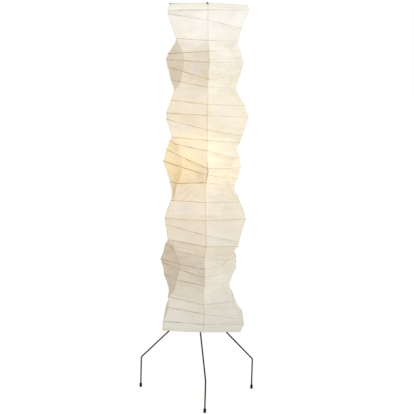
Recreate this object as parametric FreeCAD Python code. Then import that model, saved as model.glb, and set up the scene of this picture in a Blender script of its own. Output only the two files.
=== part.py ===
"""Paper lantern floor lamp: a seven-bulge paper shade hung over a steel mast on three wire legs.

Millimetres, +Z up. The origin is where the mast's axis meets the floor, and -Y faces the viewer.
"""
import FreeCAD, Part
import math
import os

V = FreeCAD.Vector
UP = V(0, 0, 1)

# ---------------------------------------------------------------- driving dimensions

# fits and running clearances
TOUCH = 0.1            # between flat faces that bear on each other
FIT = 0.05             # radial, a pin or tube fixed in its hole
RUNNING = 0.3          # radial, a piece that turns or slides on the mast

# mast
MAST_R = 5.0
MAST_BELOW_NUT = 6.0
MAST_ABOVE_HUB = 1.0

# legs, bent from round wire with an open eye at the mast
LEG_WIRE_R = 3.0
EYE_TURN = 285.0       # degrees of wire round the mast
EYE_RUN = 16.0         # straight run from the eye to the first bend
FOOT_RADIUS = 264.0    # mast axis to the middle of a foot
KNEE_HEIGHT = 129.0    # where the slanted and the upright run would meet
EYE_HEIGHT = 369.5     # middle eye
SHOULDER_BEND_R = 9.0
KNEE_BEND_R = 12.0
FOOT_AZIMUTHS = {"front": 7.0, "right": 119.5, "left": -115.5}   # from -Y towards +X
EYE_LEVELS = {"left": 1, "front": 0, "right": -1}

# rubber feet
FOOT_R = 5.6
FOOT_H = 18.0
FOOT_FLOOR = 4.0       # rubber under the wire's end
FOOT_ROUND = 2.8

# nut and washers that clamp the eyes
HUB_WASHER_R = 12.0
HUB_WASHER_T = 1.5
HUB_NUT_AF = 17.0
HUB_NUT_H = 7.0
CLAMP_NUT_R = 12.5
CLAMP_NUT_H = 15.0     # neck and fluted head together
CLAMP_NECK_R = 7.5
CLAMP_NECK_H = 6.0
CLAMP_NUT_FLUTES = 12
CLAMP_NUT_FLUTE_R = 1.4

# shade: the top edge's height at the middle of each side, and the paper
SHADE_TOP = 1594.0
PAPER_T = 0.8
RIB_R = 1.0
RIB_SIDES = 6
RIM_R = 1.5
RIM_SIDES = 10
RIM_INSET = 2.5        # rim wire's axis from the paper's edge
RIB_GAP = 0.45         # rib to paper, at its nearest corner

# The shade's levels, top to bottom. Each is one loop over eight lines: the middles of the four
# sides and the four corners. Columns: 1 where a rib runs along it and 0 for a crease alone;
# squareness, 1 for a square that faces the viewer and 0 for one turned corner-on; drop below
# the top edge at the left, middle and right; left and right reach; and where the front line is.
LEVELS = [
    (1, 1.00, 8, 0, 4, -144, 157, 2),
    (1, 1.00, 32, 26, 24, -151, 163, 4),
    (1, 1.00, 45, 64, 95, -151, 137, 5),
    (1, 1.00, 138, 143, 141, -118, 126, 8),
    (1, 0.26, 197, 185, 178, -152, 139, 14),
    (1, 0.16, 220, 228, 225, -160, 152, 17),
    (1, 0.26, 249, 294, 274, -152, 141, 14),
    (1, 0.48, 300, 325, 327, -138, 125, 11),
    (0, 1.00, 344, 356, 356, -122, 137, 12),
    (1, 1.00, 379, 392, 393, -131, 158, 13),
    (1, 1.00, 428, 434, 437, -148, 174, 13),
    (1, 1.00, 453, 490, 510, -148, 151, 14),
    (1, 1.00, 523, 533, 539, -124, 144, 15),
    (0, 0.90, 534, 552, 563, -130, 133, 15),
    (1, 0.68, 546, 574, 606, -139, 147, 16),
    (1, 0.28, 580, 642, 646, -149, 155, 18),
    (1, 0.10, 628, 668, 694, -162, 141, 18),
    (1, 0.55, 711, 700, 716, -132, 131, 15),
    (0, 0.80, 746, 742, 736, -124, 128, 11),
    (1, 1.00, 773, 779, 773, -123, 148, 15),
    (1, 1.00, 842, 848, 837, -145, 175, 17),
    (1, 1.00, 868, 909, 931, -142, 151, 19),
    (1, 1.00, 929, 954, 950, -131, 148, 21),
    (0, 0.90, 946, 974, 972, -132, 133, 19),
    (1, 0.50, 967, 998, 1010, -146, 146, 17),
    (1, 0.11, 1029, 1043, 1030, -163, 147, 19),
    (1, 0.16, 1042, 1076, 1060, -158, 145, 19),
    (1, 0.36, 1091, 1112, 1110, -148, 125, 19),
    (0, 0.60, 1134, 1152, 1126, -131, 119, 17),
    (1, 1.00, 1160, 1190, 1175, -126, 136, 16),
    (1, 1.00, 1201, 1225, 1242, -124, 163, 21),
    (1, 1.00, 1254, 1263, 1259, -142, 180, 21),
    (1, 1.00, 1293, 1296, 1291, -145, 166, 15),
]
# first and last level of each bulge's own ribs
BULGE_RIBS = [(1, 3), (4, 6), (7, 11), (12, 16), (17, 21), (22, 27), (28, 31)]
GORE_NAMES = ["front_right", "right_front", "right_back", "back_right",
              "back_left", "left_back", "left_front", "front_left"]

# top arms that the shade hangs on
ARM_R = 2.0
ARM_HOOK_DROP = 5.0    # how far the turned-down tip reaches below the arm's axis
ARM_HOOK_LEAN = 4.0    # sideways lean of the tip
HUB_R = 16.0
HUB_H = 8.0
ARM_INSERT = 6.0       # arm's length inside the hub

# collar and washer under the shade's hub
COLLAR_R = 11.0
COLLAR_H = 10.0
COLLAR_SCREW_R = 2.0
SHADE_WASHER_R = 12.0
SHADE_WASHER_T = 2.0

# lampholder bracket, clamped on the mast
BRACKET_HEIGHT = 850.0     # underside of the strap
HOLDER_OFFSET = 45.0       # mast axis to lampholder axis
STRAP_T = 3.0
STRAP_W = 22.0
STRAP_END = 18.0           # strap beyond the lampholder axis
CLAMP_R = 11.0
CLAMP_BELOW = 8.0          # clamp ring under the strap
CLAMP_ABOVE = 8.0
THUMB_R = 2.5
THUMB_KNOB_R = 8.0
THUMB_KNOB_T = 5.0
THUMB_NECK = 4.0           # screw between the clamp and its knob
THUMB_FLUTES = 8
THUMB_FLUTE_R = 1.2

# lampholder
NIPPLE_R = 5.0
NIPPLE_BORE_R = 3.5
NIPPLE_BELOW = 14.0
NIPPLE_ABOVE = 13.0
LOCKNUT_AF = 14.0
LOCKNUT_H = 4.0
GLAND_R = 8.0
GLAND_BORE_R = 3.25
GLAND_LIP = 10.0
HOLDER_R = 22.0
HOLDER_H = 52.0
HOLDER_FLOOR = 6.0
HOLDER_LOWER_BORE_R = 15.0
HOLDER_UPPER_BORE_R = 17.0
HOLDER_LEDGE = 15.0        # ledge above the holder's underside
INSULATOR_R = 16.8
INSULATOR_T = 5.0
SHELL_BORE_R = 13.3
SHELL_T = 0.6
SHELL_H = 27.0
CONTACT_T = 1.0
CONTACT_W = 6.0
CONTACT_LENGTH = 16.0
CONTACT_RISE = 4.0

# bulb, standing in the lampholder
TIP_R = 3.5
TIP_H = 1.8
BULB_CONE_H = 5.0
BULB_CONE_R = 5.0
CAP_R = 13.0
CAP_T = 0.6
CAP_H = 24.0
GLASS_T = 1.0
NECK_IN_CAP = 20.0
GLOBE_R = 30.0
GLOBE_ABOVE_CAP = 40.0     # globe centre above the cap's rim
GLOBE_JOIN = 50.0          # degrees below level where the neck meets the globe
STEM_FLANGE_H = 4.0
STEM_R = 3.0
STEM_H = 36.0
FILAMENT_R = 0.5
FILAMENT_HALF = 10.0
FILAMENT_RISE = 14.0

# ---------------------------------------------------------------- derived places

MAST_HOLE_R = MAST_R + RUNNING
EYE_R = MAST_R + RUNNING + LEG_WIRE_R
EYE_PITCH = 2 * LEG_WIRE_R + 2 * TOUCH

TOP_EYE_Z = EYE_HEIGHT + EYE_PITCH
LOW_EYE_Z = EYE_HEIGHT - EYE_PITCH
UPPER_WASHER_Z = TOP_EYE_Z + LEG_WIRE_R + TOUCH
HUB_NUT_Z = UPPER_WASHER_Z + HUB_WASHER_T + TOUCH
LOWER_WASHER_Z = LOW_EYE_Z - LEG_WIRE_R - TOUCH - HUB_WASHER_T
CLAMP_NUT_Z = LOWER_WASHER_Z - TOUCH - CLAMP_NUT_H
MAST_BOTTOM = CLAMP_NUT_Z - MAST_BELOW_NUT

ARM_Z = SHADE_TOP + TOUCH + ARM_R
HUB_Z = ARM_Z - HUB_H / 2
SHADE_WASHER_Z = HUB_Z - TOUCH - SHADE_WASHER_T
COLLAR_Z = SHADE_WASHER_Z - TOUCH - COLLAR_H
MAST_TOP = HUB_Z + HUB_H + MAST_ABOVE_HUB

STRAP_TOP = BRACKET_HEIGHT + STRAP_T
NIPPLE_Z = BRACKET_HEIGHT - NIPPLE_BELOW
NIPPLE_TOP = STRAP_TOP + NIPPLE_ABOVE
GLAND_Z = NIPPLE_Z - GLAND_LIP
LEDGE_Z = STRAP_TOP + HOLDER_LEDGE
INSULATOR_TOP = LEDGE_Z + INSULATOR_T
CONTACT_TOP = INSULATOR_TOP + CONTACT_T + CONTACT_RISE
TIP_Z = CONTACT_TOP + TOUCH
CONE_Z = TIP_Z + TIP_H
CAP_Z = CONE_Z + BULB_CONE_H
CAP_TOP = CAP_Z + CAP_H
NECK_R = CAP_R - CAP_T - FIT
NECK_Z = CAP_TOP - NECK_IN_CAP
GLOBE_Z = CAP_TOP + GLOBE_ABOVE_CAP
HOLDER_AXIS = V(-HOLDER_OFFSET, 0, 0)


# ---------------------------------------------------------------- small helpers

def at_height(z, x=0.0, y=0.0):
    return V(x, y, z)


def rod(radius, z_low, z_high, axis=V(0, 0, 0)):
    """Upright round bar between two heights."""
    return Part.makeCylinder(radius, z_high - z_low, V(axis.x, axis.y, z_low), UP)


def tube(outer, inner, z_low, z_high, axis=V(0, 0, 0)):
    """Upright round tube between two heights."""
    return rod(outer, z_low, z_high, axis).cut(rod(inner, z_low, z_high, axis))


def bar(start, end, radius):
    """Round bar from one point to another."""
    run = end.sub(start)
    return Part.makeCylinder(radius, run.Length, start, run)


def hexagon(across_flats, z_low, height, axis=V(0, 0, 0)):
    """Upright hexagonal block."""
    reach = across_flats / math.sqrt(3)
    corners = [V(axis.x + reach * math.cos(math.radians(60 * k)),
                 axis.y + reach * math.sin(math.radians(60 * k)), z_low) for k in range(7)]
    return Part.Face(Part.makePolygon(corners)).extrude(V(0, 0, height))


def fluted(blank, count, circle_r, flute_r, centre, direction, length):
    """Blank with grip flutes cut round its edge, along the direction."""
    side = direction.cross(V(0, 1, 0)) if abs(direction.y) < 0.5 else direction.cross(V(1, 0, 0))
    side.normalize()
    other = direction.cross(side)
    for k in range(count):
        turn = 2 * math.pi * k / count
        foot = centre + side * (circle_r * math.cos(turn)) + other * (circle_r * math.sin(turn))
        blank = blank.cut(Part.makeCylinder(flute_r, length, foot, direction))
    return blank


def turned(points, axis):
    """Solid of revolution from an outline of (radius, height) points and arcs."""
    edges = []
    place = points[0]
    for step in points[1:] + [points[0]]:
        start = V(axis.x + place[0], axis.y, place[1])
        end = V(axis.x + step[0], axis.y, step[1])
        if len(step) == 4:
            middle = V(axis.x + step[2], axis.y, step[3])
            edges.append(Part.Arc(start, middle, end).toShape())
        else:
            edges.append(Part.makeLine(start, end))
        place = step
    face = Part.Face(Part.Wire(edges))
    return face.revolve(V(axis.x, axis.y, 0), UP, 360)


def solid_of(triangles):
    """Closed solid from triangles of points."""
    faces = [Part.Face(Part.makePolygon([a, b, c, a])) for a, b, c in triangles]
    solid = Part.makeSolid(Part.makeShell(faces))
    if solid.Volume < 0:
        solid.reverse()
    return solid


def two_triangles(a, b, c, d, other_way=False):
    """The four-sided patch a, b, c, d, split along its a-c diagonal, or b-d the other way."""
    if other_way:
        return [(a, b, d), (b, c, d)]
    return [(a, b, c), (a, c, d)]


# ---------------------------------------------------------------- mast and hub

def make_mast():
    return rod(MAST_R, MAST_BOTTOM, MAST_TOP)


def make_mast_collar():
    """Collar that carries the shade, with its grub screw's hole on the right."""
    collar = tube(COLLAR_R, MAST_R + FIT, COLLAR_Z, COLLAR_Z + COLLAR_H)
    middle = COLLAR_Z + COLLAR_H / 2
    return collar.cut(bar(at_height(middle), at_height(middle, COLLAR_R + 1), COLLAR_SCREW_R + FIT))


def make_collar_screw():
    middle = COLLAR_Z + COLLAR_H / 2
    return bar(at_height(middle, MAST_R + TOUCH), at_height(middle, COLLAR_R), COLLAR_SCREW_R)


def make_hub_washer(z_low):
    return tube(HUB_WASHER_R, MAST_HOLE_R, z_low, z_low + HUB_WASHER_T)


def make_hub_nut():
    return hexagon(HUB_NUT_AF, HUB_NUT_Z, HUB_NUT_H).cut(
        rod(MAST_R + FIT, HUB_NUT_Z, HUB_NUT_Z + HUB_NUT_H))


def make_clamp_nut():
    """Nut that clamps the three eyes: a plain neck on top and a fluted head for the fingers."""
    top = CLAMP_NUT_Z + CLAMP_NUT_H
    head_top = top - CLAMP_NECK_H
    nut = rod(CLAMP_NUT_R, CLAMP_NUT_Z, head_top)
    nut = fluted(nut, CLAMP_NUT_FLUTES, CLAMP_NUT_R, CLAMP_NUT_FLUTE_R,
                 at_height(CLAMP_NUT_Z), UP, CLAMP_NUT_H - CLAMP_NECK_H)
    nut = nut.fuse(rod(CLAMP_NECK_R, CLAMP_NUT_Z, top)).removeSplitter()
    return nut.cut(rod(MAST_R + FIT, CLAMP_NUT_Z, top))


# ---------------------------------------------------------------- legs and feet

def filleted_path(start_edges, corners, radii):
    """Edges along the corner points, with a tangent arc of the given radius at each inner one."""
    edges = list(start_edges)
    place = corners[0]
    for k, radius in enumerate(radii, start=1):
        corner = corners[k]
        before = corners[k - 1].sub(corner)
        after = corners[k + 1].sub(corner)
        before.normalize()
        after.normalize()
        opening = math.acos(before.dot(after))
        back = radius / math.tan(opening / 2)
        first = corner + before * back
        last = corner + after * back
        bisector = before + after
        bisector.normalize()
        middle = corner + bisector * (radius / math.sin(opening / 2) - radius)
        edges.append(Part.makeLine(place, first))
        edges.append(Part.Arc(first, middle, last).toShape())
        place = last
    edges.append(Part.makeLine(place, corners[-1]))
    return Part.Wire(edges)


def make_leg(side):
    """One leg: an open eye round the mast, a slanted run and an upright run into its foot."""
    eye_z = EYE_HEIGHT + EYE_LEVELS[side] * EYE_PITCH
    foot_x = math.sqrt(FOOT_RADIUS ** 2 - EYE_R ** 2)

    def on_eye(degrees):
        angle = math.radians(degrees)
        return V(EYE_R * math.cos(angle), EYE_R * math.sin(angle), eye_z)

    # the eye runs anticlockwise and leaves along +X, level with its own side
    eye_start = on_eye(-90 - EYE_TURN)
    eye = Part.Arc(eye_start, on_eye(-90 - EYE_TURN / 2), on_eye(-90)).toShape()
    corners = [on_eye(-90), V(EYE_RUN, -EYE_R, eye_z), V(foot_x, -EYE_R, KNEE_HEIGHT),
               V(foot_x, -EYE_R, FOOT_FLOOR)]
    path = filleted_path([eye], corners, [SHOULDER_BEND_R, KNEE_BEND_R])
    start_angle = math.radians(-90 - EYE_TURN)
    heading = V(-math.sin(start_angle), math.cos(start_angle), 0)
    profile = Part.Wire(Part.makeCircle(LEG_WIRE_R, eye_start, heading))
    leg = Part.Solid(path.makePipeShell([profile], True, False))
    # azimuths run from -Y towards +X, and the eye sets the leg a little to one side of the axis
    leg.rotate(V(0, 0, 0), UP, FOOT_AZIMUTHS[side] - 90 + math.degrees(math.asin(EYE_R / FOOT_RADIUS)))
    return leg


def foot_centre(side):
    angle = math.radians(FOOT_AZIMUTHS[side])
    return V(FOOT_RADIUS * math.sin(angle), -FOOT_RADIUS * math.cos(angle), 0)


def make_foot(side):
    """Rubber tip pushed on the end of a leg."""
    centre = foot_centre(side)
    foot = rod(FOOT_R, 0, FOOT_H, centre)
    foot = foot.makeFillet(FOOT_ROUND, [edge for edge in foot.Edges if edge.Length < 2 * math.pi
                                        * FOOT_R + 1 and len(edge.Vertexes) == 1])
    return foot.cut(rod(LEG_WIRE_R + FIT, FOOT_FLOOR, FOOT_H, centre))


# ---------------------------------------------------------------- shade

def level_points(index):
    """The eight points of one level: front middle first, then towards the right and round."""
    rib, square, left, middle, right, x_left, x_right, x_front = LEVELS[index]
    depth = (x_right - x_left) / 2
    x_back = (x_left + x_right) / 2
    back = (left + right) / 2 - (middle - (left + right) / 2) / 4

    def corner(x_side, x_end, y_end, drop_side, drop_end):
        """Between a full corner and the middle of a straight edge, by squareness."""
        x = square * x_side + (1 - square) * (x_side + x_end) / 2
        y = square * y_end + (1 - square) * y_end / 2
        drop = square * drop_side + (1 - square) * (drop_side + drop_end) / 2
        return V(x, y, SHADE_TOP - drop)

    ring = [V(x_front, -depth, SHADE_TOP - middle),
            corner(x_right, x_front, -depth, right, middle),
            V(x_right, 0, SHADE_TOP - right),
            corner(x_right, x_back, depth, right, back),
            V(x_back, depth, SHADE_TOP - back),
            corner(x_left, x_back, depth, left, back),
            V(x_left, 0, SHADE_TOP - left),
            corner(x_left, x_front, -depth, left, middle)]
    if index == 0:
        # the arms hold the middles of all four sides level, and the corners sag
        for k in (0, 2, 4, 6):
            ring[k].z = SHADE_TOP
    return ring


def inset(ring, distances, lift=0.0):
    """The loop moved inwards in plan by a distance for each point, and up by the lift."""
    count = len(ring)
    moved = []
    for k in range(count):
        before = ring[k].sub(ring[k - 1])
        after = ring[(k + 1) % count].sub(ring[k])
        normal_a = V(-before.y, before.x, 0)
        normal_b = V(-after.y, after.x, 0)
        normal_a.normalize()
        normal_b.normalize()
        shift = (normal_a + normal_b) * (distances[k] / (1 + normal_a.dot(normal_b)))
        moved.append(V(ring[k].x + shift.x, ring[k].y + shift.y, ring[k].z + lift))
    return moved


def folds_across(a, b, c, d):
    """Whether a cell's fold runs from b to d and not from a to c.

    a and b are its upper points and d and c its lower ones. Slack paper draws in, so the fold
    follows whichever diagonal lies further in.
    """
    return math.hypot(b.x + d.x, b.y + d.y) < math.hypot(a.x + c.x, a.y + c.y)


def wall_spread(rings, index, point):
    """How much further in a rib sits because the paper beside it leans, as one over the cosine."""
    spread = 1.0
    for k in ((point - 1) % 8, point):
        nxt = (k + 1) % 8
        edge = rings[index][nxt].sub(rings[index][k])
        normal = V(-edge.y, edge.x, 0)
        normal.normalize()
        for other in (index - 1, index + 1):
            if not 0 <= other < len(rings):
                continue
            upper, lower = rings[min(index, other)], rings[max(index, other)]
            a, b, c, d = upper[k], upper[nxt], lower[nxt], lower[k]
            across = folds_across(a, b, c, d)
            if other > index:
                slant = d.sub(a) if across else c.sub(b)
            else:
                slant = b.sub(c) if across else a.sub(d)
            spread = max(spread, math.hypot(1.0, slant.dot(normal) / slant.z))
    return spread


def closing_in(rings, index, point, height):
    """How far the paper comes inwards at a point, this much away from its own edge."""
    a = rings[index][point]
    b = rings[1 if index == 0 else index - 1][point]
    inwards = math.hypot(a.x, a.y) - math.hypot(b.x, b.y)
    return max(0.0, inwards * height / abs(a.z - b.z))


def make_loop(rings, index, radius, sides, lift):
    """Closed faceted rod that follows one level inside the paper."""
    reach = radius / math.cos(math.pi / sides)
    spacing = [PAPER_T + (reach + RIB_GAP) * wall_spread(rings, index, k) for k in range(8)]
    if lift:
        spacing = [gap + closing_in(rings, index, k, abs(lift) + reach)
                   for k, gap in enumerate(spacing)]
    strands = []
    for side in range(sides):
        angle = 2 * math.pi * (side + 0.5) / sides
        shift = [gap - reach * math.cos(angle) for gap in spacing]
        strands.append(inset(rings[index], shift, lift + reach * math.sin(angle)))
    triangles = []
    for side in range(sides):
        here = strands[side]
        there = strands[(side + 1) % sides]
        for k in range(8):
            nxt = (k + 1) % 8
            triangles += two_triangles(here[k], here[nxt], there[nxt], there[k])
    return solid_of(triangles)


def make_gore(outer, inner, k):
    """One upright strip of paper, from the top edge to the bottom edge."""
    nxt = (k + 1) % 8
    last = len(outer) - 1
    triangles = []
    for n in range(last):
        a, b, c, d = outer[n][k], outer[n][nxt], outer[n + 1][nxt], outer[n + 1][k]
        other_way = folds_across(a, b, c, d)
        triangles += two_triangles(a, b, c, d, other_way)
        triangles += two_triangles(inner[n][nxt], inner[n][k], inner[n + 1][k], inner[n + 1][nxt],
                                   not other_way)
        for side in (k, nxt):
            triangles += two_triangles(outer[n][side], inner[n][side],
                                       inner[n + 1][side], outer[n + 1][side])
    for n in (0, last):
        triangles += two_triangles(outer[n][k], outer[n][nxt], inner[n][nxt], inner[n][k])
    return solid_of(triangles)


def make_shade_hub():
    """Disc over the mast's top, with a blind hole for each arm."""
    hub = tube(HUB_R, MAST_HOLE_R, HUB_Z, HUB_Z + HUB_H)
    for way in (V(1, 0, 0), V(-1, 0, 0), V(0, 1, 0), V(0, -1, 0)):
        hub = hub.cut(bar(at_height(ARM_Z) + way * (HUB_R - ARM_INSERT),
                          at_height(ARM_Z) + way * (HUB_R + 1), ARM_R + FIT))
    return hub


def make_arm(direction, edge, below):
    """Wire from the hub over the top edge of the shade, its tip turned down outside."""
    aside = UP.cross(direction)
    flare = (below.dot(direction) - edge.dot(direction)) / (edge.z - below.z)
    hook_depth = ARM_HOOK_DROP + ARM_R
    over = edge.dot(direction) + ARM_R + TOUCH + max(0.0, flare) * hook_depth
    start = at_height(ARM_Z) + direction * (HUB_R - ARM_INSERT)
    end = at_height(ARM_Z) + direction * over
    tip = end + aside * ARM_HOOK_LEAN - UP * ARM_HOOK_DROP
    arm = bar(start, end, ARM_R).fuse(Part.makeSphere(ARM_R, end))
    arm = arm.fuse(bar(end, tip, ARM_R)).fuse(Part.makeSphere(ARM_R, tip))
    return arm.removeSplitter()


def make_shade():
    """All pieces of the shade by name."""
    rings = [level_points(n) for n in range(len(LEVELS))]
    inner = [inset(ring, [PAPER_T] * 8) for ring in rings]
    least = min(rings[n][k].z - rings[n + 1][k].z for n in range(len(rings) - 1) for k in range(8))
    print("least drop from one level to the next: %.1f mm" % least)
    last = len(rings) - 1
    pieces = {}
    for k, name in enumerate(GORE_NAMES):
        pieces["paper_" + name] = make_gore(rings, inner, k)
    for number, (first, final) in enumerate(BULGE_RIBS, start=1):
        loops = [make_loop(rings, n, RIB_R, RIB_SIDES, 0.0)
                 for n in range(first, final + 1) if LEVELS[n][0]]
        pieces["ribs_bulge_%d" % number] = Part.makeCompound(loops)
    pieces["rim_wire_top"] = make_loop(rings, 0, RIM_R, RIM_SIDES, -RIM_INSET)
    pieces["rim_wire_bottom"] = make_loop(rings, last, RIM_R, RIM_SIDES, RIM_INSET)
    pieces["shade_hub"] = make_shade_hub()
    ways = {"front": V(0, -1, 0), "right": V(1, 0, 0), "back": V(0, 1, 0), "left": V(-1, 0, 0)}
    for line, (side, way) in enumerate(ways.items()):
        pieces["shade_arm_" + side] = make_arm(way, rings[0][2 * line], rings[1][2 * line])
    return pieces


# ---------------------------------------------------------------- lampholder

def make_bracket():
    """Strap with a clamp ring round the mast and a hole for the nipple."""
    strap = Part.makeBox(HOLDER_OFFSET + STRAP_END, STRAP_W, STRAP_T,
                         V(-HOLDER_OFFSET - STRAP_END, -STRAP_W / 2, BRACKET_HEIGHT))
    low = BRACKET_HEIGHT - CLAMP_BELOW
    high = STRAP_TOP + CLAMP_ABOVE
    bracket = strap.fuse(rod(CLAMP_R, low, high)).removeSplitter()
    bracket = bracket.cut(rod(MAST_R + RUNNING, low, high))
    bracket = bracket.cut(rod(NIPPLE_R + FIT, BRACKET_HEIGHT, STRAP_TOP, HOLDER_AXIS))
    middle = (low + high) / 2
    return bracket.cut(bar(at_height(middle), at_height(middle, CLAMP_R + 1), THUMB_R + FIT))


def make_thumb_screw():
    """Screw that holds the clamp on the mast, with a fluted knob."""
    middle = (BRACKET_HEIGHT - CLAMP_BELOW + STRAP_TOP + CLAMP_ABOVE) / 2
    knob_x = CLAMP_R + THUMB_NECK
    knob = bar(at_height(middle, knob_x), at_height(middle, knob_x + THUMB_KNOB_T), THUMB_KNOB_R)
    knob = fluted(knob, THUMB_FLUTES, THUMB_KNOB_R, THUMB_FLUTE_R,
                  at_height(middle, knob_x), V(1, 0, 0), THUMB_KNOB_T)
    return knob.fuse(bar(at_height(middle, MAST_R + RUNNING), at_height(middle, knob_x + 1), THUMB_R))


def make_nipple():
    return tube(NIPPLE_R, NIPPLE_BORE_R, NIPPLE_Z, NIPPLE_TOP, HOLDER_AXIS)


def make_locknut(z_low):
    return hexagon(LOCKNUT_AF, z_low, LOCKNUT_H, HOLDER_AXIS).cut(
        rod(NIPPLE_R + FIT, z_low, z_low + LOCKNUT_H, HOLDER_AXIS))


def make_gland():
    """Cord gland screwed on the nipple's lower end, under the lower nut."""
    top = BRACKET_HEIGHT - LOCKNUT_H - TOUCH
    gland = tube(GLAND_R, GLAND_BORE_R, GLAND_Z, top, HOLDER_AXIS)
    return gland.cut(rod(NIPPLE_R + FIT, NIPPLE_Z, top, HOLDER_AXIS))


def make_holder_body():
    top = STRAP_TOP + HOLDER_H
    body = rod(HOLDER_R, STRAP_TOP, top, HOLDER_AXIS)
    body = body.cut(rod(NIPPLE_R + FIT, STRAP_TOP, STRAP_TOP + HOLDER_FLOOR, HOLDER_AXIS))
    body = body.cut(rod(HOLDER_LOWER_BORE_R, STRAP_TOP + HOLDER_FLOOR, LEDGE_Z, HOLDER_AXIS))
    return body.cut(rod(HOLDER_UPPER_BORE_R, LEDGE_Z, top, HOLDER_AXIS))


def make_holder_insulator():
    return rod(INSULATOR_R, LEDGE_Z, INSULATOR_TOP, HOLDER_AXIS)


def make_screw_shell():
    return tube(SHELL_BORE_R + SHELL_T, SHELL_BORE_R, INSULATOR_TOP, INSULATOR_TOP + SHELL_H,
                HOLDER_AXIS)


def make_centre_contact():
    """Springy strip under the bulb's tip."""
    strip = Part.makeBox(CONTACT_LENGTH, CONTACT_W, CONTACT_T,
                         V(-HOLDER_OFFSET - CONTACT_LENGTH / 2, -CONTACT_W / 2, INSULATOR_TOP))
    post = Part.makeBox(CONTACT_W, CONTACT_W, CONTACT_T + CONTACT_RISE,
                        V(-HOLDER_OFFSET - CONTACT_W / 2, -CONTACT_W / 2, INSULATOR_TOP))
    return strip.fuse(post).removeSplitter()


# ---------------------------------------------------------------- bulb

def make_bulb_contact():
    return rod(TIP_R, TIP_Z, CONE_Z, HOLDER_AXIS)


def make_bulb_insulator():
    return Part.makeCone(BULB_CONE_R, CAP_R - CAP_T, BULB_CONE_H, V(-HOLDER_OFFSET, 0, CONE_Z), UP)


def make_bulb_cap():
    return tube(CAP_R, CAP_R - CAP_T, CAP_Z, CAP_TOP, HOLDER_AXIS)


def make_bulb_globe():
    """Glass from the cap up: a neck, a flare and a ball, one wall thick."""
    join = math.radians(GLOBE_JOIN)
    ball_in = GLOBE_R - GLASS_T

    def on_ball(radius, angle):
        return radius * math.cos(angle), GLOBE_Z + radius * math.sin(angle)

    quarter = (math.pi / 2 - join) / 2
    outer_join = on_ball(GLOBE_R, -join)
    outer_mid = on_ball(GLOBE_R, quarter)
    inner_join = on_ball(ball_in, -join)
    inner_mid = on_ball(ball_in, quarter)
    outline = [(NECK_R, NECK_Z), (NECK_R, CAP_TOP), outer_join,
               (0, GLOBE_Z + GLOBE_R) + outer_mid, (0, GLOBE_Z + ball_in),
               inner_join + inner_mid, (NECK_R - GLASS_T, CAP_TOP), (NECK_R - GLASS_T, NECK_Z)]
    return turned(outline, HOLDER_AXIS)


def make_bulb_stem():
    """Glass stem fused in the neck, which carries the filament."""
    flange = rod(NECK_R - GLASS_T - FIT, NECK_Z, NECK_Z + STEM_FLANGE_H, HOLDER_AXIS)
    post = rod(STEM_R, NECK_Z, NECK_Z + STEM_H, HOLDER_AXIS)
    return flange.fuse(post).removeSplitter()


def make_filament():
    """Two support wires from the stem and the filament between them."""
    low = NECK_Z + STEM_H + FILAMENT_R
    high = low + FILAMENT_RISE
    feet = [V(-HOLDER_OFFSET + side * STEM_R / 2, 0, low) for side in (-1, 1)]
    tops = [V(-HOLDER_OFFSET + side * FILAMENT_HALF, 0, high) for side in (-1, 1)]
    shape = bar(feet[0], tops[0], FILAMENT_R).fuse(bar(feet[1], tops[1], FILAMENT_R))
    shape = shape.fuse(bar(tops[0], tops[1], FILAMENT_R))
    for joint in feet + tops:
        shape = shape.fuse(Part.makeSphere(FILAMENT_R, joint))
    return shape.fuse(bar(feet[0], feet[1], FILAMENT_R))


# ---------------------------------------------------------------- write one file per piece

def all_pieces():
    pieces = {
        "mast": make_mast(),
        "mast_collar": make_mast_collar(),
        "collar_screw": make_collar_screw(),
        "hub_nut": make_hub_nut(),
        "hub_washer_upper": make_hub_washer(UPPER_WASHER_Z),
        "hub_washer_lower": make_hub_washer(LOWER_WASHER_Z),
        "clamp_nut": make_clamp_nut(),
        "shade_washer": tube(SHADE_WASHER_R, MAST_HOLE_R, SHADE_WASHER_Z,
                             SHADE_WASHER_Z + SHADE_WASHER_T),
        "lamp_bracket": make_bracket(),
        "bracket_thumb_screw": make_thumb_screw(),
        "holder_nipple": make_nipple(),
        "nipple_nut_lower": make_locknut(BRACKET_HEIGHT - LOCKNUT_H),
        "nipple_nut_upper": make_locknut(STRAP_TOP + HOLDER_FLOOR),
        "cord_gland": make_gland(),
        "holder_body": make_holder_body(),
        "holder_insulator": make_holder_insulator(),
        "holder_screw_shell": make_screw_shell(),
        "holder_centre_contact": make_centre_contact(),
        "bulb_contact": make_bulb_contact(),
        "bulb_insulator": make_bulb_insulator(),
        "bulb_cap": make_bulb_cap(),
        "bulb_globe": make_bulb_globe(),
        "bulb_stem": make_bulb_stem(),
        "bulb_filament": make_filament(),
    }
    for side in FOOT_AZIMUTHS:
        pieces["leg_" + side] = make_leg(side)
        pieces["foot_" + side] = make_foot(side)
    pieces.update(make_shade())
    return pieces


os.makedirs("parts", exist_ok=True)
for name, shape in sorted(all_pieces().items()):
    if not shape.isValid():
        print("not valid:", name)
    print("%-22s %2d solids %12.1f mm3" % (name, len(shape.Solids), shape.Volume))
    shape.exportStep("parts/%s.step" % name)
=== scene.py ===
import math
import numpy as np
import bpy
from mathutils import Matrix, Vector


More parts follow.
